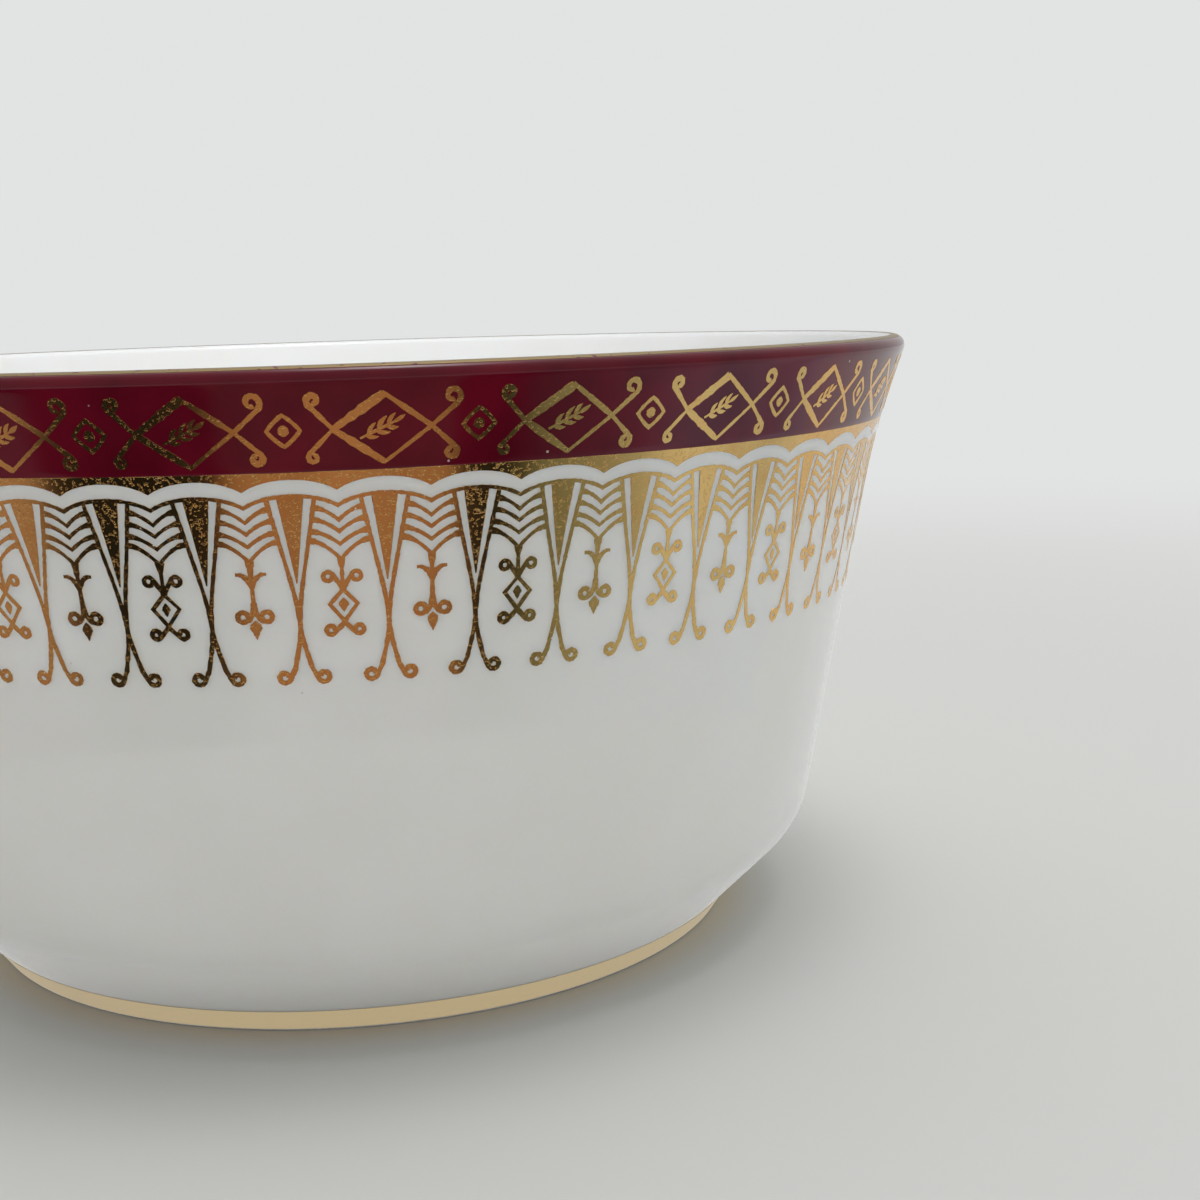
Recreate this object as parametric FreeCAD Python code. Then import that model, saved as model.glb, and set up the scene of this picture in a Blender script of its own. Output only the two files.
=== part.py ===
# Footed porcelain bowl with an enamel band and printed gold borders.
# Millimetres and degrees. +Z is up, the foot stands on Z = 0 and the bowl's axis is Z.
# The front of the bowl faces -Y. Borders are drawn flat, as width across and height,
# then pressed onto the wall as thin solids and repeated round the axis.

import FreeCAD, Part
import math
import os

Vector = FreeCAD.Vector
AXIS = Vector(0, 0, 1)
CENTRE = Vector(0, 0, 0)

# Bowl
bowl_height = 56.6
rim_radius = 56.2
wall_thickness = 2.0
wall_taper = 11.0          # lean of the straight wall, away from upright
flare_depth = 14.5         # height of the flared top of the wall
flare_radius = 80.0        # how gently the wall curls outwards there
outer_turn_radius = 6.0    # where the wall turns under
undercut_slope = 45.0      # slope of the underside, up from level
inner_turn_radius = 13.0
floor_height = 5.4         # top of the inside floor
foot_radius = 37.2         # outside of the foot where it stands
foot_flare = 1.6           # how much wider the foot is at its top
foot_height = 2.4
foot_width = 2.4           # the ring that it stands on
recess_depth = 1.9         # underside, inside the foot ring
recess_draft = 0.6

# Straight steps that stand in for the round stretches of the profile
flare_steps = 2
lip_steps = 3
outer_turn_steps = 2
inner_turn_steps = 4

# Coats
enamel_thickness = 0.10
gilding_thickness = 0.10
print_thickness = 0.10
print_gap = 0.12           # bare china between neighbouring printed shapes

# Enamel band and gilt lines
band_depth = 7.55          # from the rim down to the band's lower edge
band_lip_turn = 60.0       # how far the enamel runs up over the rounded lip
rim_gilt_turn = 60.0       # how far the gilding runs on from there
foot_gilt_margin = 0.25    # left bare above the floor

# Frieze of lozenges, on the enamel band
frieze_repeats = 25
frieze_start = 2.78        # angle of the first lozenge from the front
frieze_depth = 4.5         # from the rim down to the frieze's centre line
lozenge_half_width = 3.45
lozenge_half_height = 2.55
lozenge_bold_line = 0.55   # the two sides on the left
lozenge_fine_line = 0.28   # the two sides on the right
arm_reach = 1.45           # from the lozenge's point out to the curl
arm_rise = 2.1
arm_line = 0.28
small_half_width = 1.25
small_half_height = 1.2

# Border of hanging points, below the band
border_repeats = 50
border_start = 2.78        # angle of the first wedge from the front
strip_crown_width = 0.5    # gold strip under the band, where it is narrowest
strip_arch_rise = 0.84
arch_steps = 3             # straight steps in each arch
scallop_gap = 1.0          # bare line between the strip and the wedges
wedge_half_width = 1.07
wedge_length = 6.6
wand_line = 0.32
wand_crossing_drop = 10.2  # from the top of the wedges to where the wands cross
wand_length = 13.9
wand_spread = 1.45         # sideways from the crossing to the curls
chevron_line = 0.34
chevron_half_width = 1.75
chevron_rise = 0.8
chevron_drop = 0.95        # from the top of the wedges to the point

# Pendants between the wands, turn about
pendant_drop = 5.1         # from the top of the wedges to the stems
pendant_line = 0.3
sprig_stem_length = 4.0
scroll_half_width = 1.1
scroll_rise = 0.7
drop_length = 1.3
diamond_drop = 2.0         # from the pendant's top to the diamond's
diamond_half_width = 1.08
diamond_half_height = 1.31


# Wall profile, as corners on straight lines and arcs

taper = math.radians(wall_taper)
half_wall = wall_thickness / 2
flare_base = bowl_height - flare_depth
lip_height = (
    bowl_height - half_wall * (1 + math.sin(taper)) + half_wall * flare_base / flare_radius
) / (1 + half_wall / flare_radius)
lip_lean = math.asin(math.sin(taper) + (lip_height - flare_base) / flare_radius)
lip_radius = rim_radius - half_wall * (1 - math.cos(lip_lean))
flare_centre = Vector(
    lip_radius + flare_radius * math.cos(lip_lean), 0, flare_base - flare_radius * math.sin(taper)
)
lip_centre = Vector(
    lip_radius - half_wall * math.cos(lip_lean), 0, lip_height + half_wall * math.sin(lip_lean)
)
lip_step = 180.0 / lip_steps


def wall_corners(offset):
    """Corners of the wall from the floor up: the straight taper, then the flare."""
    radius = flare_radius - offset
    corners = []
    for k in range(flare_steps + 1):
        lean = taper + (lip_lean - taper) * k / flare_steps
        corners.append(flare_centre + Vector(-math.cos(lean), 0, math.sin(lean)) * radius)
    base = corners[0]
    return [base - Vector(math.tan(taper), 0, 1) * base.z] + corners


def wall_point(height, offset=0.0):
    """Point of the wall at a height, with the wall moved out by offset."""
    corners = wall_corners(offset)
    for below, above in zip(corners, corners[1:]):
        if height <= above.z:
            break
    return below + (above - below) * ((height - below.z) / (above.z - below.z))


def wall_run(low, high, offset):
    """Points up the wall between two heights, or up to the lip where high is None."""
    corners = wall_corners(offset)
    top = corners.pop() if high is None else wall_point(high, offset)
    between = [corner for corner in corners if low < corner.z < top.z]
    return [wall_point(low, offset)] + between + [top]


def lip_corner(step, offset):
    angle = math.radians(step * lip_step) - lip_lean
    return lip_centre + Vector(math.cos(angle), 0, math.sin(angle)) * (half_wall + offset)


def lip_point(turn, offset):
    """Point of the rounded lip, turn degrees over from its outer edge."""
    step = min(int(turn // lip_step), lip_steps - 1)
    start, end = lip_corner(step, offset), lip_corner(step + 1, offset)
    return start + (end - start) * (turn / lip_step - step)


def lip_run(start, end, offset):
    corners = [k * lip_step for k in range(lip_steps + 1) if start < k * lip_step < end]
    return [lip_point(turn, offset) for turn in [start] + corners + [end]]


def rounded(corner, arriving, leaving, radius, steps):
    """Points of an arc that rounds a corner between two directions."""
    turn = arriving.getAngle(leaving)
    inward = (leaving - arriving).normalize()
    along = (arriving + leaving).normalize()
    centre = corner + inward * (radius / math.cos(turn / 2))
    angles = [turn * (k / steps - 0.5) for k in range(steps + 1)]
    return [centre + (along * math.sin(a) - inward * math.cos(a)) * radius for a in angles]


def turned(points):
    """A closed profile turned round the axis into a solid."""
    return Part.Face(Part.makePolygon(points + points[:1])).revolve(CENTRE, AXIS, 360)


# Turned pieces

def china_body():
    """Bowl with its foot ring, formed and turned as one piece of clay."""
    foot_top = Vector(foot_radius + foot_flare, 0, foot_height)
    slope = math.radians(undercut_slope)
    under = Vector(math.cos(slope), 0, math.sin(slope))
    up_wall = Vector(math.sin(taper), 0, math.cos(taper))
    reach = (wall_point(foot_height).x - foot_top.x) / (under.x - under.z * math.tan(taper))
    outer_corner = foot_top + under * reach
    outer = rounded(outer_corner, under, up_wall, outer_turn_radius, outer_turn_steps)
    outer += wall_run(outer[-1].z, None, 0)[1:]

    inner_corner = wall_point(floor_height, -wall_thickness)
    across = Vector(1, 0, 0)
    inner = rounded(inner_corner, across, up_wall, inner_turn_radius, inner_turn_steps)
    inner += wall_run(inner[-1].z, None, -wall_thickness)[1:]

    inside_foot = foot_radius - foot_width
    underside = [
        Vector(0, 0, recess_depth),
        Vector(inside_foot - recess_draft, 0, recess_depth),
        Vector(inside_foot, 0, 0),
        Vector(foot_radius, 0, 0),
        foot_top,
    ]
    lip = lip_run(0, 180, 0)[1:-1]
    return turned(underside + outer + lip + inner[::-1] + [Vector(0, 0, floor_height)])


band_base = bowl_height - band_depth


def burgundy_band():
    """Enamel from the band's lower edge, up the flare and part of the way over the lip."""
    faces = [
        wall_run(band_base, None, offset) + lip_run(0, band_lip_turn, offset)[1:]
        for offset in (0, enamel_thickness)
    ]
    return turned(faces[0] + faces[1][::-1])


def rim_gilding():
    """Gilt line over the top of the lip, from the enamel to the inside."""
    end = band_lip_turn + rim_gilt_turn
    outer = lip_run(band_lip_turn, end, gilding_thickness)
    return turned(lip_run(band_lip_turn, end, 0) + outer[::-1])


def foot_gilding():
    """Gilt line on the outside of the foot, clear of the floor."""
    low = foot_radius + foot_flare * foot_gilt_margin / foot_height
    high = foot_radius + foot_flare
    return turned([
        Vector(low, 0, foot_gilt_margin),
        Vector(low + gilding_thickness, 0, foot_gilt_margin),
        Vector(high + gilding_thickness, 0, foot_height),
        Vector(high, 0, foot_height),
    ])


# Flat drawing of the borders: across is width to the right, up is height on the wall

def outline(points):
    corners = [Vector(across, 0, up) for across, up in points]
    return Part.Face(Part.makePolygon(corners + corners[:1]))


def diamond(centre, half_width, half_height):
    return outline([
        (centre[0] - half_width, centre[1]),
        (centre[0], centre[1] + half_height),
        (centre[0] + half_width, centre[1]),
        (centre[0], centre[1] - half_height),
    ])


def on_wall(across, up, offset):
    """Where a drawn point lies on the wall, with the drawing bent round the front."""
    radius = wall_point(up, offset).x
    angle = across / wall_point(up).x
    return Vector(radius * math.sin(angle), -radius * math.cos(angle), up)


def solid_of(points, triangles):
    shell = Part.Shape()
    shell.makeShapeFromMesh((points, triangles), 0.001)
    solid = Part.Solid(Part.Shell(shell.Faces)).removeSplitter()
    return solid if solid.Volume > 0 else solid.reversed()


def pressed(shape, inner):
    """A drawn shape laid on the wall at an offset, with the print's thickness."""
    drawn, triangles = shape.tessellate(print_thickness)
    count = len(drawn)
    points = [
        on_wall(point.x, point.z, offset)
        for offset in (inner, inner + print_thickness) for point in drawn
    ]
    facets = []
    sides = set()
    for corners in triangles:
        facets.append(tuple(k + count for k in corners))
        facets.append(corners[::-1])
        sides |= {(corners[k - 1], corners[k]) for k in range(3)}
    for start, end in sides:
        if (end, start) not in sides:
            facets.append((end + count, start + count, start))
            facets.append((end + count, start, end))
    return solid_of(points, facets)


def around(shape, repeats, start):
    """Copies of a shape, evenly round the axis from a starting angle."""
    copies = []
    for k in range(repeats):
        copy = shape.copy()
        copy.rotate(CENTRE, AXIS, start + 360.0 * k / repeats)
        copies += copy.Solids
    return Part.makeCompound(copies)


# Frieze on the band

frieze_height = bowl_height - frieze_depth


def large_lozenges():
    """Open lozenge, bolder on its left, whose lines run on past its points as four arms."""
    tip_line = arm_line / 2
    top, bottom = frieze_height + lozenge_half_height, frieze_height - lozenge_half_height
    end = lozenge_half_width + arm_reach
    rise = frieze_height + arm_rise, frieze_height - arm_rise
    frame = outline([
        (0, top),
        (lozenge_half_width - tip_line, frieze_height + tip_line),
        (end, rise[0]),
        (lozenge_half_width + tip_line, frieze_height),
        (end, rise[1]),
        (lozenge_half_width - tip_line, frieze_height - tip_line),
        (0, bottom),
        (tip_line - lozenge_half_width, frieze_height - tip_line),
        (-end, rise[1]),
        (-lozenge_half_width - tip_line, frieze_height),
        (-end, rise[0]),
        (tip_line - lozenge_half_width, frieze_height + tip_line),
    ])
    bold = lozenge_bold_line / lozenge_half_height
    fine = lozenge_fine_line / lozenge_half_height
    window = outline([
        (lozenge_half_width * (1 - fine) - lozenge_fine_line, frieze_height),
        (0, top - lozenge_fine_line * 2),
        (lozenge_bold_line + lozenge_half_width * (bold - 1), frieze_height),
        (0, bottom + lozenge_bold_line * 2 - lozenge_fine_line),
    ])
    return [frame.cut(window)]


def small_lozenges():
    return [diamond((0, frieze_height), small_half_width, small_half_height)]


# Border below the band

wedge_top = band_base - strip_crown_width - scallop_gap
border_pitch = 360.0 / border_repeats
half_arch = wall_point(wedge_top).x * math.sin(math.radians(border_pitch / 2))


def scallop_strip():
    """Gold strip under the band, its lower edge cut away in arches that meet in points."""
    arch_radius = (half_arch ** 2 + strip_arch_rise ** 2) / (2 * strip_arch_rise)
    arch_centre = band_base - strip_crown_width - arch_radius
    steps = border_repeats * arch_steps
    points = []
    for k in range(steps):
        across = half_arch * (2 * (k % arch_steps) / arch_steps - 1)
        edge = arch_centre + math.sqrt(arch_radius ** 2 - across ** 2)
        turn = FreeCAD.Rotation(AXIS, border_start + border_pitch * (k / arch_steps - 0.5))
        for up in (band_base, edge):
            points += [turn * on_wall(0, up, offset) for offset in (0, print_thickness)]
    facets = []
    for k in range(steps):
        here, ahead = 4 * k, 4 * ((k + 1) % steps)
        for first, second in ((0, 1), (1, 3), (3, 2), (2, 0)):
            facets.append((here + first, here + second, ahead + second))
            facets.append((here + first, ahead + second, ahead + first))
    return solid_of(points, facets)


def gold_wedges():
    return [outline([
        (-wedge_half_width, wedge_top),
        (wedge_half_width, wedge_top),
        (0, wedge_top - wedge_length),
    ])]


def crossed_wands():
    """Two lines that leave the point of a wedge together and spread to feet."""
    top = wedge_top - wedge_length - print_gap
    fork = wedge_top - wand_crossing_drop
    foot = wedge_top - wand_length
    inside = wand_spread - wand_line / 2
    outside = wand_spread + wand_line / 2
    return [outline([
        (0, top),
        (outside, foot),
        (inside, foot),
        (0, fork),
        (-inside, foot),
        (-outside, foot),
    ])]


def chevrons():
    """Point that hangs where two arches meet."""
    point = wedge_top - chevron_drop
    return [outline([
        (-chevron_half_width, point + chevron_rise),
        (0, point),
        (chevron_half_width, point + chevron_rise),
        (0, point - chevron_line),
    ])]


pendant_top = wedge_top - pendant_drop
half_stem = pendant_line / 2


def sprig_pendants():
    """Stem that widens to two scrolls and ends in a drop."""
    foot = pendant_top - sprig_stem_length
    return [outline([
        (half_stem, pendant_top),
        (half_stem, foot + scroll_rise),
        (scroll_half_width, foot),
        (0, foot - drop_length),
        (-scroll_half_width, foot),
        (-half_stem, foot + scroll_rise),
        (-half_stem, pendant_top),
    ])]


def diamond_pendants():
    """Stem that ends in a diamond."""
    top = pendant_top - diamond_drop
    return [outline([
        (half_stem, pendant_top),
        (half_stem, top),
        (diamond_half_width, top - diamond_half_height),
        (0, top - 2 * diamond_half_height),
        (-diamond_half_width, top - diamond_half_height),
        (-half_stem, top),
        (-half_stem, pendant_top),
    ])]


# Parts

half_border = border_pitch / 2
half_frieze = 180.0 / frieze_repeats
pairs = border_repeats // 2
left_of_wedge = border_start - half_border
right_of_wedge = border_start + half_border
between_lozenges = frieze_start + half_frieze

parts = {
    "china_body": china_body(),
    "burgundy_band": burgundy_band(),
    "rim_gilding": rim_gilding(),
    "foot_gilding": foot_gilding(),
    "scallop_strip": scallop_strip(),
}

# name, drawing, what it lies on, repeats, angle of the first
prints = [
    ("large_lozenges", large_lozenges, enamel_thickness, frieze_repeats, frieze_start),
    ("small_lozenges", small_lozenges, enamel_thickness, frieze_repeats, between_lozenges),
    ("gold_wedges", gold_wedges, 0, border_repeats, border_start),
    ("crossed_wands", crossed_wands, 0, border_repeats, border_start),
    ("chevrons", chevrons, 0, border_repeats, right_of_wedge),
    ("sprig_pendants", sprig_pendants, 0, pairs, right_of_wedge),
    ("diamond_pendants", diamond_pendants, 0, pairs, left_of_wedge),
]

for name, drawing, surface, repeats, start in prints:
    solids = [pressed(shape, surface) for shape in drawing()]
    parts[name] = around(Part.makeCompound(solids), repeats, start)

os.makedirs("parts", exist_ok=True)
for name, shape in parts.items():
    shape.exportStep("parts/" + name + ".step")
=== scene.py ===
"""Finish of a footed china bowl: glaze, burgundy enamel band, gilt lines and printed gold borders.

The borders are drawn flat in millimetres, as width across and height, and pressed onto the wall.
"""

import math

import bpy
import numpy as np
from mathutils import Matrix, Vector


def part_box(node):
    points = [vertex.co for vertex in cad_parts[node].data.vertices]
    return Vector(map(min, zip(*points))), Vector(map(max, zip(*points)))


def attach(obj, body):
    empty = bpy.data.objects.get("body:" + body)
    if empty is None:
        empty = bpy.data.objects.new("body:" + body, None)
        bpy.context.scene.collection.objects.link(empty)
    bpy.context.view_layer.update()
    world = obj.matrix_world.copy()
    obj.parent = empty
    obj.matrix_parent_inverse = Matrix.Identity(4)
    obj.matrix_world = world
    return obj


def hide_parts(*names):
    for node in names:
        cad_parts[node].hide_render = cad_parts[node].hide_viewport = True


bl_info = {
    "name": "Footed china bowl",
    "version": (1, 0, 0),
    "blender": (4, 5, 0),
    "location": "View3D > Sidebar > Bowl",
    "description": "Builds a glazed china bowl with an enamel band and printed gold borders",
    "category": "Add Mesh",
}

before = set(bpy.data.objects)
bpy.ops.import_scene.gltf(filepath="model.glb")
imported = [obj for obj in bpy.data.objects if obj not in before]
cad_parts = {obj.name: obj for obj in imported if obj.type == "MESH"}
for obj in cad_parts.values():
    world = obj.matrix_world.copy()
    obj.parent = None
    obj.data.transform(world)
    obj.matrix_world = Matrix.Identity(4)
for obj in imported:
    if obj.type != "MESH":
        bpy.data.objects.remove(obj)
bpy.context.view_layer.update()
MM = 0.001
BODY = "root"
BODY_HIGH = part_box("china_body")[1]
BAND_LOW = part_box("burgundy_band")[0]
FOOT_GILT_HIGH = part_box("foot_gilding")[1]


def linear(code):
    """Linear red, green and blue of an sRGB hex colour."""
    value = np.array([int(code[k:k + 2], 16) for k in (1, 3, 5)]) / 255
    return tuple(np.where(value <= 0.04045, value / 12.92, ((value + 0.055) / 1.055) ** 2.4))


def length(name, default, description):
    return bpy.props.FloatProperty(
        name=name, default=default, description=description, unit="LENGTH", subtype="DISTANCE",
        precision=5
    )


def angle(name, default, description):
    return bpy.props.FloatProperty(
        name=name, default=math.radians(default), description=description, unit="ROTATION",
        subtype="ANGLE"
    )


def number(name, default, description):
    return bpy.props.FloatProperty(name=name, default=default, description=description)


def direction(name, default, description):
    return bpy.props.FloatVectorProperty(
        name=name, default=default, description=description, subtype="DIRECTION"
    )


def place_at(name, default, description):
    return bpy.props.FloatVectorProperty(
        name=name, default=default, description=description, subtype="TRANSLATION"
    )


def whole(name, default, description):
    return bpy.props.IntProperty(name=name, default=default, description=description)


def colour(name, code, description):
    return bpy.props.FloatVectorProperty(
        name=name, default=linear(code), description=description, subtype="COLOR", size=3, min=0, max=1
    )


class BowlForm(bpy.types.PropertyGroup):
    """Sizes of the body and its coats."""

    height: length("Height", BODY_HIGH.z, "From the foot to the top of the lip")
    rim_radius: length("Rim radius", BODY_HIGH.x, "Outside of the lip")
    wall_thickness: length("Wall", 2.0 * MM, "Thickness of the wall")
    wall_taper: angle("Taper", 11.0, "Lean of the straight wall away from upright")
    flare_depth: length("Flare depth", 14.5 * MM, "Height of the flared top of the wall")
    flare_radius: length("Flare radius", 80 * MM, "How gently the wall curls outwards")
    outer_turn: length("Outer turn", 6 * MM, "Radius where the wall turns under")
    inner_turn: length("Inner turn", 13 * MM, "Radius from the wall to the inside floor")
    undercut: angle("Undercut", 45, "Slope of the underside, up from level")
    floor_height: length("Floor", 5.4 * MM, "Top of the inside floor")
    foot_radius: length("Foot radius", 37.2 * MM, "Outside of the foot where it stands")
    foot_flare: length("Foot flare", 1.6 * MM, "How much wider the foot is at its top")
    foot_height: length("Foot height", FOOT_GILT_HIGH.z, "Height of the foot ring")
    foot_width: length("Foot width", 2.4 * MM, "Width of the ring that it stands on")
    recess_depth: length("Recess", 1.9 * MM, "Depth of the underside inside the foot")
    foot_edge: length("Foot edge", 0.4 * MM, "Rounding of the foot's edges")
    enamel: length("Enamel", 0.06 * MM, "Thickness of the fired enamel")
    gold: length("Gold", 0.022 * MM, "Thickness of the fired gold")
    band_base: length("Band base", BAND_LOW.z, "Height of the enamel band's lower edge")
    band_turn: angle("Band turn", 76, "How far the enamel runs up over the lip")
    gilt_turn: angle("Gilt turn", 46, "How far the gilding runs on from there")
    sides: whole("Sides", 288, "Facets round the axis")


class BorderDrawing(bpy.types.PropertyGroup):
    """Layout of the printed borders."""

    frieze_repeats: whole("Lozenges", 25, "Lozenges round the band")
    border_repeats: whole("Wedges", 50, "Wedges round the wall")
    start: angle("Start", 2.78, "Angle of the first lozenge and wedge from the front")
    frieze_height: length("Frieze", 3.05 * MM, "Height of the lozenges' centres above the band's base")
    line: length("Line", 0.32 * MM, "Width of the fine printed lines")
    bold_line: length("Bold line", 0.7 * MM, "Width of the bold sides of the lozenges")
    ragged: number("Ragged edge", 0.16, "How much the width of a line varies, as a share")


class Finishes(bpy.types.PropertyGroup):
    """Colours of the glaze, enamel and gold."""

    china: colour("China", "#F1F2F2", "White body under clear glaze")
    china_warm: colour("China, warm", "#ECECE9", "Thicker glaze, a little warmer")
    biscuit: colour("Biscuit", "#D9D2C6", "Unglazed clay where the foot stands")
    enamel: colour("Enamel", "#6A0A20", "Burgundy enamel")
    enamel_deep: colour("Enamel, deep", "#560619", "Burgundy where it lies thicker")
    gold: colour("Gold", "#E6BE76", "Fired gold")
    gold_red: colour("Gold, red", "#DCA65E", "Fired gold where it is thinner and redder")
    # Foot gold: worn brushed gold, painted paler still as a painted reflection of the bright table top
    # it mirrors
    gold_worn_and_painted_reflection: colour("Gold, worn", "#E8D2A6", "Brushed gold, pale and dull from use")
    # Lip gold: gold worn thin, painted darker still as painted shade against the bright light overhead
    # that the lip mirrors
    gold_dull_and_painted_shade: colour("Gold, dull", "#8F7B55", "Brushed gold worn thin over the enamel")


class StageSettings(bpy.types.PropertyGroup):
    """Camera, light and floor."""

    camera_at: place_at("Camera", (0, -0.1756, 0.0599), "Place of the camera")
    yaw: angle("Yaw", 8.354, "Turn of the camera to the right of the bowl's axis")
    pitch: angle("Pitch", 9.763, "Tilt of the camera down from level")
    roll: angle("Roll", -1.753, "Roll of the camera")
    lens: bpy.props.FloatProperty(name="Lens", default=50.95, description="Focal length", unit="CAMERA")
    table: colour("Table", "#D6D7D4", "Pale matt table top")
    backdrop: colour("Backdrop", "#E2E3E3", "What the camera sees behind the bowl")
    sky: number("Sky", 0.49, "Even light from all round")
    window: number("Window", 0.25, "Broad light from behind the bowl")
    window_towards: direction("Window towards", (0.05, 0.9, 0.3), "Direction of the broad light")
    key: number("Key", 0.9, "Light from the large soft source overhead")
    key_towards: direction("Key towards", (0.16, 0.25, 0.92), "Direction of the large soft source")
    lamp: number("Lamp", 12.0, "Light from a small source overhead")
    lamp_towards: direction("Lamp towards", (0.1, -0.08, 0.99), "Direction of the small source")
    fill: bpy.props.FloatProperty(
        name="Fill", default=0.008, description="Power of the fill light over the bowl", unit="POWER"
    )
    fill_at: place_at("Fill at", (0, -0.004, 0.084), "Place of the fill light")
    fill_aim: place_at("Fill aim", (0, 0.05, 0.046), "Where the fill light points")
    fade_start: length("Fade start", 0.12, "Distance where the table starts to fade into the backdrop")
    fade_end: length("Fade end", 0.45, "Distance where only the backdrop shows")
    brown: colour("Brown", "#A08C8C", "Mirrored at the far left as brown gold")
    dark: colour("Dark", "#1E2126", "Mirrored in the gold as black")
    warm: colour("Warm", "#A3857E", "Mirrored in the gold as copper")
    olive: colour("Olive", "#7C8989", "Mirrored in the gold as olive")
    pale: colour("Pale", "#CEDCEC", "Mirrored at the right as pale gold")


# Wall of the bowl, in millimetres

class Wall:
    """Outer wall as a function of height: a straight taper that runs into an arc curling outwards.

    Below the flare, radius = base radius - tan(taper) * (base - height). In the flare the wall is an
    arc whose centre lies outside the bowl, and sin(lean) = (height - centre) / arc radius. The lip is
    half a circle.
    """

    def __init__(self, form):
        half = form.wall_thickness / MM / 2
        self.half = half
        self.taper = form.wall_taper
        self.thickness = form.wall_thickness / MM
        self.arc = form.flare_radius / MM
        height = form.height / MM
        self.base = height - form.flare_depth / MM
        sine = math.sin(self.taper)
        self.lip = (height - half * (1 + sine) + half * self.base / self.arc) / (1 + half / self.arc)
        self.lip_lean = math.asin(sine + (self.lip - self.base) / self.arc)
        lip_radius = form.rim_radius / MM - half * (1 - math.cos(self.lip_lean))
        self.centre = np.array([
            lip_radius + self.arc * math.cos(self.lip_lean), self.base - self.arc * sine
        ])
        self.lip_centre = np.array([
            lip_radius - half * math.cos(self.lip_lean), self.lip + half * math.sin(self.lip_lean)
        ])

    def lean(self, height):
        sine = (height - self.centre[1]) / self.arc
        return np.arcsin(np.clip(sine, math.sin(self.taper), math.sin(self.lip_lean)))

    def radius(self, height):
        lean = self.lean(height)
        straight = np.minimum(height - self.base, 0) * math.tan(self.taper)
        return self.centre[0] - self.arc * np.cos(lean) + straight

    def flare(self, lift, count):
        """Points up the flared arc, moved out by lift."""
        lean = np.linspace(self.taper, self.lip_lean, count)
        return self.centre + (self.arc - lift) * np.stack([-np.cos(lean), np.sin(lean)], -1)

    def straight(self, height, lift):
        """Point of the straight wall at a height, moved out by lift."""
        radius = self.centre[0] - self.arc * math.cos(self.taper)
        return np.array([
            radius + (height - self.base) * math.tan(self.taper) + lift / math.cos(self.taper), height
        ])

    def over_lip(self, start, end, lift, count):
        """Points round the half circle of the lip, between two angles over from its outer edge."""
        turn = np.linspace(start, end, count) - self.lip_lean
        return self.lip_centre + (self.half + lift) * np.stack([np.cos(turn), np.sin(turn)], -1)


def rounded(corners, radii, count=9):
    """Corners joined by straight lines, each corner replaced by an arc of its radius.

    The arc's centre lies on the corner's bisector at radius / cos(half the turn).
    """
    corners = np.asarray(corners, float)
    pieces = [corners[:1]]
    for before, corner, after, radius in zip(corners, corners[1:], corners[2:], radii):
        arriving = (corner - before) / np.linalg.norm(corner - before)
        leaving = (after - corner) / np.linalg.norm(after - corner)
        turn = math.acos(np.clip(arriving @ leaving, -1, 1))
        inward = (leaving - arriving) / np.linalg.norm(leaving - arriving)
        along = (arriving + leaving) / np.linalg.norm(arriving + leaving)
        centre = corner + inward * radius / math.cos(turn / 2)
        sweep = np.linspace(-turn / 2, turn / 2, count)[:, None]
        pieces.append(centre + radius * (along * np.sin(sweep) - inward * np.cos(sweep)))
    return np.concatenate(pieces + [corners[-1:]])


def filled_in(profile, step):
    """The same profile with extra points, so that no stretch is longer than a step."""
    run = np.concatenate([[0], np.cumsum(np.linalg.norm(np.diff(profile, axis=0), axis=1))])
    stations = np.union1d(run, np.arange(0, run[-1], step))
    stations = stations[np.concatenate([[True], np.diff(stations) > step / 50])]
    return np.stack([np.interp(stations, run, profile[:, k]) for k in (0, 1)], -1)


# Meshes

SHARP = math.radians(15)
PROFILE_STEP = 1.6
FLARE_ROWS = 20
LIP_ROWS = 17
BAND_ROWS = 24
BAND_LIP_ROWS = 9
GILT_ROWS = 14


def make_piece(name, points, faces, material, slot, *nodes):
    """A mesh from points in millimetres and arrays of faces. It stands for CAD nodes."""
    mesh = bpy.data.meshes.new(name)
    points = points.reshape(-1, 3) * MM
    corners = np.concatenate([face.reshape(-1) for face in faces])
    sizes = np.concatenate([np.full(len(face), face.shape[1]) for face in faces])
    mesh.vertices.add(len(points))
    mesh.vertices.foreach_set("co", points.ravel())
    mesh.loops.add(len(corners))
    mesh.loops.foreach_set("vertex_index", corners.astype(np.int32))
    mesh.polygons.add(len(sizes))
    mesh.polygons.foreach_set("loop_start", (np.cumsum(sizes) - sizes).astype(np.int32))
    mesh.polygons.foreach_set("use_smooth", np.ones(len(sizes), bool))
    mesh.update(calc_edges=True)
    mesh.validate()
    mesh.set_sharp_from_angle(angle=SHARP)
    mesh.materials.append(material)
    piece = bpy.data.objects.new(name, mesh)
    bpy.context.scene.collection.objects.link(piece)
    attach(piece, BODY)
    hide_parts(*nodes)
    return piece


def woven(rows, columns, rows_join, columns_join):
    """Quads of a grid of points, which may join up along either way."""
    row = np.arange(rows if rows_join else rows - 1)[:, None]
    column = np.arange(columns if columns_join else columns - 1)[None, :]
    here, ahead = row * columns, (row + 1) % rows * columns
    beside = (column + 1) % columns
    return np.stack([here + column, here + beside, ahead + beside, ahead + column], -1).reshape(-1, 4)


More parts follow.
